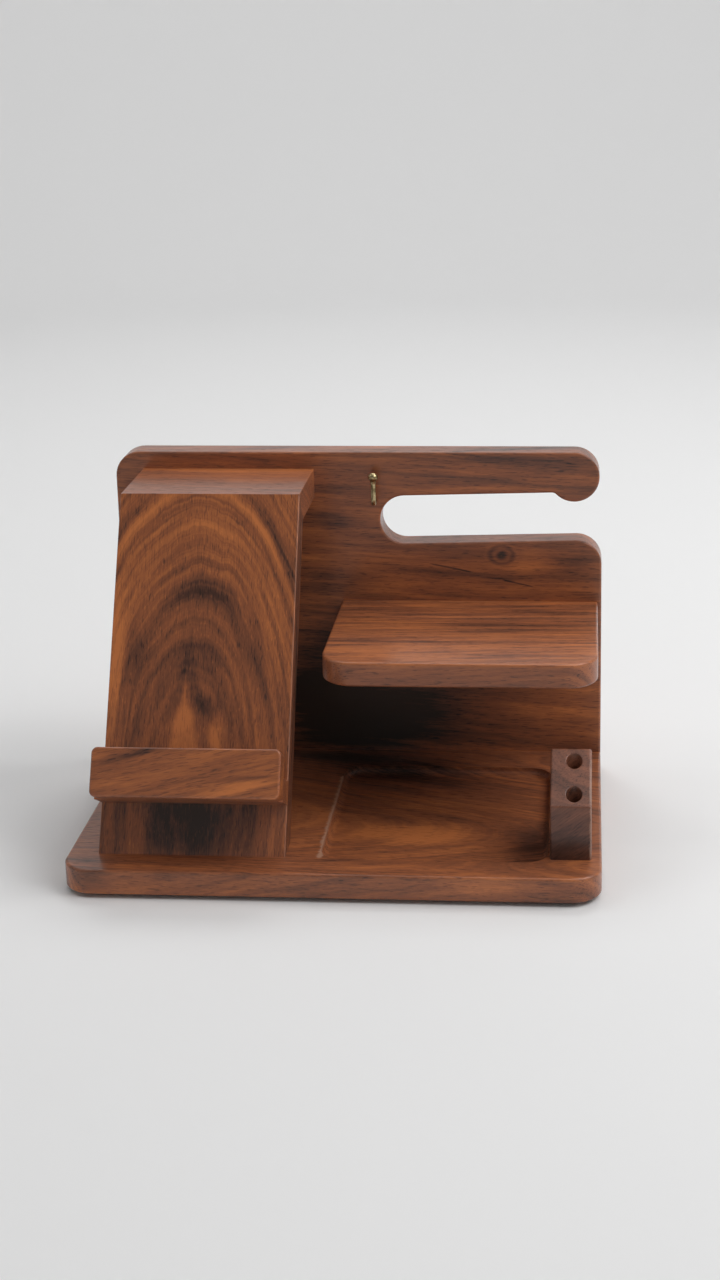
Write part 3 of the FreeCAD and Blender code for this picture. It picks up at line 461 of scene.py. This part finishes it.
boards = {
    "phone_board": {
        **plain, "centre": (-74, -69, 14.5), "along": upBoard, "across": right, "seed": 1.0,
        "heartDepth": 60.0, "heartAcross": 0.0, "lean": -0.061, "bow": 0.001167, "tone": 0.39,
        "broadBend": 3.0, "middleBend": 2.4, "fineBend": 0.7,
        "lineDepth": 1.1, "streakDepth": 0.12, "fibreDepth": 0.25, "fleckDepth": 0.16,
        # paintedSideShade darkens its right side face and back.
        "bandSpan": (-4.0, 40.0), "bandDepth": 0.6, "paintedSideShade": 0.3,
        "bands": [(-4, 0.6), (1.5, 0.5), (3.4, 0.6), (5.7, 0.62), (7.0, 0.42), (8.4, 0.6), (9.7, 0.4),
                  (11.2, 0.36), (12.4, 0.6), (13.4, 0.5), (14.5, 0.6), (15.8, 0.5), (18.0, 0.4),
                  (20.5, 0.48), (22.6, 0.2), (24.5, 0.45), (27.0, 0.5), (29.0, 0.15), (30.4, 0.48),
                  (32.0, 0.64), (34.0, 0.6), (36.0, 0.42)],
        "swells": [(135, 20, 20, 14, -1.6), (66, -44, 50, 12, 4.0)],
        "arcs": [(10.9, 6, 0.9, 20, 0.16), (13.2, 6, 0.9, 21, 0.16), (12.0, 5, 2.3, 19, 0.26),
                 (10.4, -28, 2.2, 7, 0.16), (32.0, 40, 2.6, 16, 0.06), (8.2, 2, 0.9, 18, 0.06),
                 (22.8, 8, 0.8, 26, -0.15), (6.2, 20, 5.0, 8, -0.1), (29.0, 38, 1.0, 14, -0.12)],
        # The spots at (12, 3) and (25, 9) are painted shadow under the ledge.
        "spots": [(92, -39, 34, 5.0, -0.34), (74, 9, 5, 8, 0.26), (62, 21, 14, 3.5, 0.25),
                  (60, 15, 9, 5, -0.30), (8, -24, 20, 5, -0.25), (12, 3, 17, 32, 0.56),
                  (25, 9, 11, 40, 0.26), (10, 44, 18, 4, -0.2)],
        "flames": [(84, -1.5, 0.27, 0.27)],
        # A pale right front edge: rubbed, and a painted highlight where the eased edge catches the light.
        "wearAndHighlightEdges": [(phoneEdgeMiddle, upBoard, phoneEdge["half"], phoneEdge["wearAndHighlightStrip"])], "wearAndHighlightShare": 0.22},
    "bridge_board": {
        **plain, "centre": (-70, 45, 173.5), "along": right, "across": back, "seed": 2.0,
        "heartDepth": 60.0, "heartAcross": -40.0, "lean": 0.03,
        "lineDepth": 0.6, "streakDepth": 0.06,
        "spots": [(0, 24, 60, 5, -0.25)]},
    "ledge_floor": {
        **plain, "centre": (-70, -60, 50), "along": right, "across": upBoard, "seed": 3.0,
        "heartDepth": 70.0, "heartAcross": 20.0, "lean": 0.05},
    "ledge_lip": {
        **plain, "centre": (-70, -78, 55), "along": (0.9848, 0.0834, 0.1523),
        "across": (0.1736, -0.4730, -0.8638), "seed": 4.0,
        "heartDepth": 80.0, "heartAcross": -60.0, "lean": 0.02, "tone": 0.33,
        "broadBend": 5.0, "middleBend": 2.0, "lineScale": 0.5, "lineDepth": 0.95, "streakDepth": 0.1,
        "fibreDepth": 0.18, "fineDepth": 0.3,
        "spots": [(3.6, -1.0, 12, 0.8, 0.2), (33, 3.0, 13, 1.3, 0.3), (-17, -18.5, 13, 1.5, 0.22),
                  (29, 6.8, 16, 2.5, -0.25)],
        # A pale top edge and right end: rubbed, and a painted highlight on the eased edges.
        "wearAndHighlightEdges": [(lipTopMiddle, right, lip["halfLong"], lip["wearAndHighlightStrip"]),
                      (lipCorner, upBoard, lip["halfCorner"], lip["wearAndHighlightStrip"])], "wearAndHighlightShare": 0.5},
    "back_panel": {
        **plain, "centre": (30, 72, 110), "along": right, "across": up, "seed": 5.0,
        # Its ink is darker and greyer than the other boards', the tone of the painted shadow under the
        # shelf.
        "hues": {"ink": paint(45, 38, 34)},
        "heartDepth": 90.0, "heartAcross": -160.0, "lean": 0.05, "bandDepth": 0.42,
        "lineScale": 0.45, "lineDepth": 0.9, "streakDepth": 0.12, "fibreDepth": 0.22, "fineDepth": 0.3,
        "knots": [(46.7, 15.8, 3.2)],
        # The spots at (-23, -59), (-28, -82) and (-58, -64) are painted shadow under the shelf, beside the
        # phone board.
        "spots": [(62, 13, 12, 8, -0.25), (86, 10, 10, 6, 0.2), (-45, 36, 11, 9, 0.2),
                  (-42, 1, 20, 5, 0.24), (60, -70, 40, 5, -0.2), (-23, -59, 57, 34, 0.58),
                  (-28, -82, 47, 20, 0.34), (-58, -64, 22, 28, 0.26), (20, 60, 90, 10, 0.12)],
        "checks": [(20, 9, 12, -0.2), (55, 1, 9, -0.26)]},
    "wallet_shelf": {
        **plain, "centre": (59, 21, 100.5), "along": right, "across": back, "seed": 6.0,
        "heartDepth": 200.0, "heartAcross": -320.0, "lean": -0.035, "tone": 0.30,
        "broadBend": 4.0, "middleBend": 0.9, "fineBend": 0.25, "bandScale": 0.1, "bandDepth": 0.34,
        "lineScale": 0.45, "lineDepth": 1.25, "streakDepth": 0.2, "cloudDepth": 0.2,
        # paintedSideShade darkens its front edge and underside a little.
        "fibreDepth": 0.2, "fineDepth": 0.3, "edgeCalm": 0.45, "paintedSideShade": 0.1,
        "spots": [(-35, 27, 42, 1.2, 0.3), (-45, 34, 26, 1.4, 0.25), (38, 34, 16, 3, 0.25),
                  (10, 2, 60, 1.2, 0.2), (8, -17, 48, 0.9, 0.2)]},
    "base_board": {
        **plain, "centre": (10, -10, 14.5), "along": (0.9976, -0.07, 0.0),
        "across": (0.07, 0.9976, 0.0), "seed": 7.0,
        "heartDepth": 34.0, "heartAcross": -12.0, "lean": 0.22,
        "leanFade": ((-78.0, -48.0), (62.0, 90.0)),
        "bandDepth": 0.4, "lineDepth": 0.9, "streakDepth": 0.14,
        # The spots at (-4, 64) and (-30, 72) are painted shade behind the tray, under the shelf; (90, -19)
        # is the painted shadow of the pen block in the tray.
        "spots": [(28, -17, 33, 13, -0.5), (-4, 64, 52, 17, 0.36), (-30, 72, 36, 14, 0.34),
                  (90, -19, 13, 22, 0.5), (80, -75, 30, 8, -0.28), (-122, -84, 12, 10, 0.3)],
        "dullSpots": [(18, 58, 60, 9)],
        # A pale left rim of the tray: rubbed, and a painted highlight where its inner wall catches the
        # light.
        "wearAndHighlightEdges": [((-6.3, -18.0, 14.2), back, 50.0, 1.9)], "wearAndHighlightShare": 0.7},
    "pen_block": {
        **plain, "centre": (115, -50, 30), "along": (0.8, 0.0, 0.6), "across": (-0.6, 0.0, 0.8),
        "seed": 8.0, "hues": {"honey": paint(168, 106, 76), "chestnut": paint(126, 78, 58),
                              "umber": paint(82, 52, 41), "ink": paint(60, 38, 31)},
        "heartDepth": 50.0, "heartAcross": -20.0, "lean": 0.1, "tone": 0.44,
        "lineDepth": 0.8, "streakDepth": 0.12, "patchDepth": (30.0, 40.0),
        # Both spots are painted shade on the lower front, where the block meets the base.
        "spots": [(-22, 0, 10, 30, 0.12), (-5, -4, 17, 17, 0.16)],
        # Pale right edges of the front and the slope: rubbed, and a painted highlight from the light at the
        # right.
        "wearAndHighlightEdges": [((124.8, -66.2, 28.0), up, 13.0, 1.0),
                      ((124.8, -53.5, 49.5), (0.0, 0.857, 0.515), 13.0, 1.0)], "wearAndHighlightShare": 0.4},
    "screw_plugs": {
        **plain, "centre": (59, 88, 94), "along": up, "across": right, "seed": 9.0,
        "heartDepth": 60.0, "heartAcross": 5.0, "lean": 0.1},
}
for name, look in boards.items():
    dress(name, woodFinish("rosewood_" + name, look))
print("boards finished")

# The small parts' finishes: two colours, their noises (stretch, detail, roughness, shift), the
# roughness as (how far it varies, least), and a bump's strength and depth in metres.
brassLook = {
    "polished": paint(188, 172, 132), "aged": paint(134, 118, 84), "agedFrom": (0.4, 0.65),
    "cloud": ((0.35, 0.35, 0.35), 3.0, 0.6, 2.0), "scratch": ((3.0, 3.0, 0.4), 2.0, 0.6, 5.0),
    "roughness": (0.2, 0.2), "bump": (0.2, 0.00003),
}
steelLook = {
    "bright": paint(196, 196, 190), "dull": paint(156, 156, 152),
    "cloud": ((0.6, 0.6, 0.6), 3.0, 0.6, 4.0), "roughness": (0.25, 0.25), "bump": (0.2, 0.00003),
}
feltLook = {
    "dark": paint(34, 25, 20), "pale": paint(84, 64, 52), "fuzzShare": 0.6, "mottleShare": 0.4,
    "fuzz": ((4.0, 4.0, 4.0), 4.0, 0.75, 1.0), "mottle": ((0.7, 0.7, 0.7), 2.0, 0.5, 8.0),
    "roughness": 0.95, "bump": (0.8, 0.0004), "sheen": 0.4, "sheenRoughness": 0.6,
}
beechLook = {
    "pale": paint(222, 186, 142), "dark": paint(186, 144, 100),
    "fleck": ((0.9, 0.9, 0.9), 3.0, 0.6, 3.0), "roughness": (0.2, 0.55), "bump": (0.3, 0.0001),
}


def brassFinish():  # aged in clouds, with fine scratches
    recipe = Recipe("antique_brass")
    point = recipe.objectPoint()
    cloud = recipe.noise(point, *brassLook["cloud"])
    scratch = recipe.noise(point, *brassLook["scratch"])
    color = recipe.mix(cloud.smooth(*brassLook["agedFrom"]), brassLook["polished"], brassLook["aged"])
    varies, least = brassLook["roughness"]
    bump = recipe.bump(*brassLook["bump"], scratch)
    return recipe.finish(color, cloud * varies + least, bump, Metallic=1.0)


def steelFinish():  # bright and dull zinc in clouds
    recipe = Recipe("zinc_steel")
    cloud = recipe.noise(recipe.objectPoint(), *steelLook["cloud"])
    color = recipe.mix(cloud, steelLook["bright"], steelLook["dull"])
    varies, least = steelLook["roughness"]
    bump = recipe.bump(*steelLook["bump"], cloud)
    return recipe.finish(color, cloud * varies + least, bump, Metallic=1.0)


def feltFinish():  # fine fuzz over a broader mottle
    recipe = Recipe("brown_felt")
    point = recipe.objectPoint()
    fuzz = recipe.noise(point, *feltLook["fuzz"])
    mottle = recipe.noise(point, *feltLook["mottle"])
    share = fuzz * feltLook["fuzzShare"] + mottle * feltLook["mottleShare"]
    color = recipe.mix(share, feltLook["dark"], feltLook["pale"])
    return recipe.finish(color, feltLook["roughness"], recipe.bump(*feltLook["bump"], fuzz),
                         Sheen_Weight=feltLook["sheen"], Sheen_Roughness=feltLook["sheenRoughness"])


def beechFinish():  # flecked and unpolished
    recipe = Recipe("beech_dowel")
    fleck = recipe.noise(recipe.objectPoint(), *beechLook["fleck"])
    color = recipe.mix(fleck, beechLook["pale"], beechLook["dark"])
    varies, least = beechLook["roughness"]
    return recipe.finish(color, fleck * varies + least, recipe.bump(*beechLook["bump"], fleck))


def smoothMesh(name, points, faces, material):  # points in metres
    mesh = bpy.data.meshes.new(name)
    mesh.from_pydata(points, [], faces)
    mesh.polygons.foreach_set("use_smooth", np.ones(len(mesh.polygons), bool))
    mesh.materials.append(material)
    item = bpy.data.objects.new(name, mesh)
    bpy.context.scene.collection.objects.link(item)
    return item


def makePiece(name, points, faces, material, node):  # points in millimetres, fixed to the stand
    piece = smoothMesh(name, (np.asarray(points) * millimetre).tolist(), faces, material)
    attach(piece, "root")
    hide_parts(node)


def roundTurn(sides):  # angles once round
    return np.linspace(0, 2 * math.pi, sides, endpoint=False)


def tubeFaces(rows, sides):
    # Quads between neighbouring rings of a tube, with a fan to one point at each end: the corner
    # on ring r at side s has number r times sides plus s, and the two end points come last.
    row, side = np.meshgrid(np.arange(rows - 1), np.arange(sides), indexing="ij")
    here = row * sides + side
    there = row * sides + (side + 1) % sides
    quads = np.stack([here, there, there + sides, here + sides], axis=-1).reshape(-1, 4).tolist()
    ring = np.arange(sides)
    after = (ring + 1) % sides
    lastRing = (rows - 1) * sides
    start = np.stack([after, ring, np.full(sides, rows * sides)], axis=-1).tolist()
    end = np.stack([ring + lastRing, after + lastRing, np.full(sides, rows * sides + 1)], axis=-1).tolist()
    return quads + start + end


# "swell" is how far above its bottom the ball begins and below its top it ends, in radians.
hook = {"start": (9.5, 83.0, 156.0), "reach": 19.0, "bend": 3.0, "rise": 15.0, "wire": 1.13, "leg": 1.26,
        "inPanel": 11.2, "tipRound": 0.2, "tipBack": 0.02, "ball": 2.7, "ballHigh": 2.3, "ballGap": 0.1,
        "neck": 1.5, "neckLong": 1.5, "neckGap": 0.1, "swell": (0.62, 0.02),
        "sides": 40, "straightSteps": 14, "bendSteps": 12, "legSteps": 9, "neckSteps": 8, "ballSteps": 30}


def makeHook():
    # Circles square to a path: a straight out of the panel, a quarter bend, an upright, then a
    # slightly flat ball. The radius is the wire's, then the leg's, and eases into the neck. Round
    # the ball it is ball times the cosine of an angle, at a height of ballHigh times its sine.
    x, y, z = hook["start"]
    bend, wire, leg = hook["bend"], hook["wire"], hook["leg"]
    reach, neckLong = hook["reach"], hook["neckLong"]
    straightSteps, bendSteps = hook["straightSteps"], hook["bendSteps"]
    straight = np.linspace(0.0, reach - bend, straightSteps)
    turn = np.linspace(0.0, math.pi / 2, bendSteps + 1)[1:]
    top = hook["rise"] - hook["ball"] - hook["ballGap"]
    legUp = np.linspace(bend, top - neckLong - hook["neckGap"], hook["legSteps"] + 1)[1:]
    rise = np.concatenate([legUp, np.linspace(top - neckLong, top, hook["neckSteps"])])
    fromBottom, toTop = hook["swell"]
    swell = np.linspace(-math.pi / 2 + fromBottom, math.pi / 2 - toTop, hook["ballSteps"])
    upright = len(rise) + len(swell)
    forwards = np.concatenate([straight, reach - bend + bend * np.sin(turn), np.full(upright, reach)])
    upwards = np.concatenate([np.zeros(straightSteps), bend - bend * np.cos(turn), rise,
                              hook["rise"] + hook["ballHigh"] * np.sin(swell)])
    lead = np.concatenate([np.zeros(straightSteps), turn, np.full(upright, math.pi / 2)])
    ease = np.clip((rise - (top - neckLong)) / neckLong, 0.0, 1.0)
    outside = np.clip(straight - hook["inPanel"], 0.0, 1.0)  # the wire is thinner inside the panel
    radius = np.concatenate([wire + (leg - wire) * outside, np.full(bendSteps, leg),
                             leg + (hook["neck"] - leg) * ease ** 2, hook["ball"] * np.cos(swell)])
    radius[0] = wire - hook["tipRound"]
    angle = roundTurn(hook["sides"])
    over = np.outer(radius, np.sin(angle))
    xs = x + np.outer(radius, np.cos(angle))
    ys = y - forwards[:, None] + over * np.sin(lead)[:, None]
    zs = z + upwards[:, None] + over * np.cos(lead)[:, None]
    points = np.stack([xs.ravel(), ys.ravel(), zs.ravel()], axis=1).tolist()
    points += [[x, y - hook["tipBack"], z], [x, y - reach, z + hook["rise"] + hook["ballHigh"]]]
    faces = tubeFaces(len(radius), hook["sides"])
    makePiece("key_hook_wire", points, faces, brassFinish(), "key_hook")


makeHook()

# "profile" is the way out and the way up from the floor, as shares of the radius and thickness.
# "ripples" are waves round the rim, their turn from pad to pad, and their size.
pads = {"places": ((-108.0, -66.0), (108.0, -66.0), (108.0, 66.0), (-108.0, 66.0)),
        "radius": 6.9, "thick": 1.98, "sides": 48, "fuzz": 0.12,
        "profile": ((0.3, 0.02), (0.6, 0.02), (0.85, 0.03), (0.95, 0.07), (0.99, 0.2), (1.0, 0.4),
                    (1.0, 0.65), (0.99, 0.85), (0.95, 0.95), (0.85, 0.985), (0.6, 0.99), (0.3, 0.99)),
        "ripples": ((7, 1, 0.4), (17, 2, 0.35), (29, 0, 0.25)),
        "pressed": 0.01, "pressedRound": 5, "pressedOut": 9,
        "heights": (0.02, 1.97), "middles": (0.03, 1.96)}


def makePads():
    # Each pad is a profile turned round its middle. Its radius is less a fuzz that follows a sum
    # of sines round the rim, and its height adds the product of a sine round and a sine outwards.
    angle = roundTurn(pads["sides"])
    share, level = np.array(pads["profile"]).T
    points, faces = [], []
    for number, (x, y) in enumerate(pads["places"]):
        ripple = sum(np.sin(angle * waves + number * turn) * size for waves, turn, size in pads["ripples"])
        reach = np.outer(share, pads["radius"] - pads["fuzz"] * (0.5 + 0.5 * ripple))
        pressed = pads["pressed"] * np.sin(angle * pads["pressedRound"] + number)[None, :]
        height = level[:, None] * pads["thick"] + pressed * np.sin(share * pads["pressedOut"])[:, None]
        start = len(points)
        pad = [x + reach * np.cos(angle), y + reach * np.sin(angle), np.clip(height, *pads["heights"])]
        points += np.stack(pad, axis=-1).reshape(-1, 3).tolist()
        points += [[x, y, middle] for middle in pads["middles"]]
        faces += [[corner + start for corner in face] for face in tubeFaces(len(share), pads["sides"])]
    makePiece("felt_pads", points, faces, feltFinish(), "foot_pads")


makePads()

# Rings of corners run at "face" and "rim", shares of the head's radius, and "cone", of its depth.
screw = {"head": 3.97, "headDepth": 2.6, "shank": 1.55, "thread": 1.97, "pitch": 1.8,
         "unthreaded": 4.0, "threadGrows": 1.5, "point": 4.0, "tipShare": 0.03, "tipShort": 0.03,
         "recess": 1.3, "arm": 2.4, "armHalf": 0.5, "armSlope": 0.12, "armEnd": 0.35, "narrows": 0.35,
         "face": (0.06, 0.72, 15), "rim": (0.8, 0.9, 0.985, 1.0), "rimFrom": 3.9, "rimDeep": 0.05,
         "faceDeep": 0.02, "cone": (0.1, 1.0, 5), "underHead": 0.3, "ringEvery": 0.45,
         "ringless": 3, "lastRing": 0.1, "sides": 56}


def inArm(a, b):
    # 1 inside an arm of the cross that runs along a, by clipped straight slopes at its sides and ends
    wide = np.clip((screw["armHalf"] + screw["armSlope"] - np.abs(b)) / (2 * screw["armSlope"]), 0, 1)
    return wide * np.clip((screw["arm"] - np.abs(a)) / screw["armEnd"], 0, 1)


def turnedScrew(length):
    # Along the axis: a flat face with a cross sunk in it, a cone under the head, then a threaded
    # shank whose radius is the shank's plus a ridge that follows (turn plus length over pitch),
    # and a point.
    sides, head, shank, headDepth = (screw[key] for key in ("sides", "head", "shank", "headDepth"))
    angle = roundTurn(sides)
    disc = np.append(np.linspace(*screw["face"]), screw["rim"]) * head
    x, y = np.outer(disc, np.cos(angle)), np.outer(disc, np.sin(angle))
    narrowing = 1 - screw["narrows"] * np.hypot(x, y) / screw["arm"]
    sunk = screw["recess"] * np.maximum(inArm(x, y), inArm(y, x)) * narrowing
    sunk = np.where(disc[:, None] > screw["rimFrom"], screw["rimDeep"], sunk + screw["faceDeep"])
    cone = np.linspace(*screw["cone"])[:, None]
    coneRadius = head + (shank - head) * cone
    rings = int((length - screw["ringless"]) / screw["ringEvery"])
    deep = np.linspace(headDepth + screw["underHead"], length - screw["lastRing"], rings)[:, None]
    taper = np.clip((length - deep) / screw["point"], screw["tipShare"], 1.0)
    ridge = np.clip(np.cos(2 * math.pi * (deep / screw["pitch"]) - angle[None, :]), 0, 1) ** 2
    grows = np.clip((deep - headDepth - screw["unthreaded"]) / screw["threadGrows"], 0, 1)
    shankRadius = (shank + (screw["thread"] - shank) * ridge * grows) * taper
    radius = np.vstack([np.repeat(disc[:, None], sides, 1), np.repeat(coneRadius, sides, 1), shankRadius])
    coneHeight = screw["rimDeep"] + cone * headDepth
    height = np.vstack([sunk, np.repeat(coneHeight, sides, 1), np.repeat(deep, sides, 1)])
    turned = np.stack([radius * np.cos(angle), radius * np.sin(angle), height], axis=-1).reshape(-1, 3)
    ends = [[0, 0, screw["recess"]], [0, 0, length - screw["tipShort"]]]
    return np.vstack([turned, ends]), len(radius)


def makeScrews(name, places, steel):  # each place is the head's middle, the axis and the whole length
    points, faces = [], []
    for middle, axis, length in places:
        local, rings = turnedScrew(length)
        turn = Vector(up).rotation_difference(Vector(axis)).to_matrix()
        start = len(points)
        points += (local @ np.array(turn).T + np.array(middle)).tolist()
        faces += [[corner + start for corner in face] for face in tubeFaces(rings, screw["sides"])]
    makePiece(name + "_turned", points, faces, steel, name)


# The ledge's screws run from the head's middle towards a point in the ledge, both as (Y, Z).
ledgeHead = (-40.199, 33.789)
ledgeWay = Vector((-64.43, 47.055)) - Vector(ledgeHead)
ledgeAxis = (0.0, ledgeWay.x / ledgeWay.length, ledgeWay.y / ledgeWay.length)
longScrew = 29.5
ledgeScrew = 27.62
screwSets = {
    "panel_screws": [((x, 80.0, 2.0), up, longScrew) for x in (-93.6, 0.0, 93.6)],
    "phone_board_screws": [((x, -54.772, 2.0), up, longScrew) for x in (-92.0, -46.0)],
    "pen_block_screw": [((116.5, -51.3, 2.0), up, longScrew)],
    "shelf_screws": [((x, 84.0, 94.25), front, longScrew) for x in (9.75, 59.25, 108.75)],
    "ledge_screws": [((x, *ledgeHead), ledgeAxis, ledgeScrew) for x in (-101.2, -36.8)],
}
steel = steelFinish()
for name, places in screwSets.items():
    makeScrews(name, places, steel)

beech = beechFinish()
for name in ("panel_dowels", "shelf_dowels", "bridge_dowels", "mitre_dowels", "lip_dowels"):
    dress(name, beech)
print("fixings finished")

# The studio, in metres: the floor is a disc that curves up all round into a low wall.
studio = {"flatRadii": (0.02, 0.5, 1.1), "flatRadius": 1.7, "bendRadius": 0.5, "height": 1.5,
          "bendSteps": 16, "turns": 96, "pale": paint(236, 236, 236), "shade": paint(225, 225, 225),
          "fleck": ((0.4, 0.4, 0.4), 2.0, 0.5), "fleckShare": 0.04, "roughness": 0.9, "worldStrength": 0.02}


def paperFinish():
    recipe = Recipe("backdrop_paper")
    fleck = recipe.noise(recipe.objectPoint(), *studio["fleck"])
    color = recipe.mix(fleck * studio["fleckShare"], studio["pale"], studio["shade"])
    return recipe.finish(color, studio["roughness"])


def makeBackdrop():
    # A profile of radius and height (flat, quarter circle, upright) turned about Z.
    flat, bendRadius, turns = studio["flatRadius"], studio["bendRadius"], studio["turns"]
    bend = np.linspace(0, math.pi / 2, studio["bendSteps"])
    out = np.concatenate([studio["flatRadii"], flat + bendRadius * np.sin(bend), [flat + bendRadius]])
    level = np.zeros(len(studio["flatRadii"]))
    height = np.concatenate([level, bendRadius * (1 - np.cos(bend)), [studio["height"]]])
    angle = roundTurn(turns)
    x = np.outer(np.cos(angle), out).ravel()
    y = np.outer(np.sin(angle), out).ravel()
    points = np.stack([x, y, np.tile(height, turns)], axis=1).tolist()
    count = len(out)
    step, ring = np.meshgrid(np.arange(count - 1), np.arange(turns))
    here, after = ring * count + step, (ring + 1) % turns * count + step
    faces = np.stack([here, here + 1, after + 1, after], axis=-1).reshape(-1, 4).tolist()
    hub = list(np.arange(turns) * count)
    smoothMesh("backdrop", points, faces + [hub], paperFinish())


makeBackdrop()


def softbox(name, place, target, size, power):
    light = bpy.data.lights.new(name, "AREA")
    light.shape = "RECTANGLE"
    light.size, light.size_y = size
    light.energy = power
    item = bpy.data.objects.new(name, light)
    aim = Vector(target) - Vector(place)
    turn = aim.to_track_quat("-Z", "Y").to_matrix().to_4x4()
    item.matrix_world = Matrix.Translation(Vector(place)) @ turn
    bpy.context.scene.collection.objects.link(item)


lamps = {  # place, target, size in metres, power in watts
    "rightAbove": ((1.1, 0.0, 1.35), (0.0, 0.0, 0.05), (1.0, 1.0), 11.7),
    "rightFront": ((1.0, -0.6, 1.35), (0.0, 0.0, 0.05), (0.9, 0.9), 4.9),
    "overhead": ((0.2, -0.1, 1.7), (0.0, 0.1, 0.0), (1.4, 1.2), 4.2),
    "leftAbove": ((-1.0, 0.0, 1.4), (0.0, 0.0, 0.05), (0.8, 0.8), 2.9),
    "backWash": ((0.0, 1.1, 1.7), (0.0, 1.0, 0.3), (1.4, 0.7), 12.9),
}
for name, lamp in lamps.items():
    softbox(name, *lamp)

world = bpy.data.worlds.new("studio")
world.use_nodes = True
sky = world.node_tree.nodes["Background"]
sky.inputs["Color"].default_value = (1.0, 1.0, 1.0, 1.0)
sky.inputs["Strength"].default_value = studio["worldStrength"]
bpy.context.scene.world = world
bpy.context.scene.view_settings.view_transform = "Standard"

# Place in metres. The lens is given by its length in pixels, and its axis by the pixel it passes.
view = {"place": (0.122015, -0.957528, 0.429032), "forward": (-0.0778696, 0.9637764, -0.2550908),
        "rollDegrees": -0.92, "focalPixels": 2008.5, "axisPixel": (430.0, 500.0),
        "pixels": (720, 1280), "sensor": 36.0, "farClip": 20.0}


def setCamera():
    # The sensor spans the picture's long side, its height, so lens and shifts are shares of that.
    width, height = view["pixels"]
    axisX, axisY = view["axisPixel"]
    forward = Vector(view["forward"]).normalized()
    level = forward.cross(Vector(up)).normalized()
    over = level.cross(forward)
    roll = math.radians(view["rollDegrees"])
    sideways = math.cos(roll) * level + math.sin(roll) * over
    upright = math.cos(roll) * over - math.sin(roll) * level
    camera = bpy.data.cameras.new("camera")
    camera.sensor_width = view["sensor"]
    camera.lens = view["focalPixels"] / height * view["sensor"]
    camera.shift_x = (width / 2 - axisX) / height
    camera.shift_y = (axisY - height / 2) / height
    camera.clip_end = view["farClip"]
    item = bpy.data.objects.new("camera", camera)
    turn = Matrix((sideways, upright, -forward)).transposed().to_4x4()
    item.matrix_world = Matrix.Translation(Vector(view["place"])) @ turn
    bpy.context.scene.collection.objects.link(item)
    bpy.context.scene.camera = item


setCamera()
print("camera set")
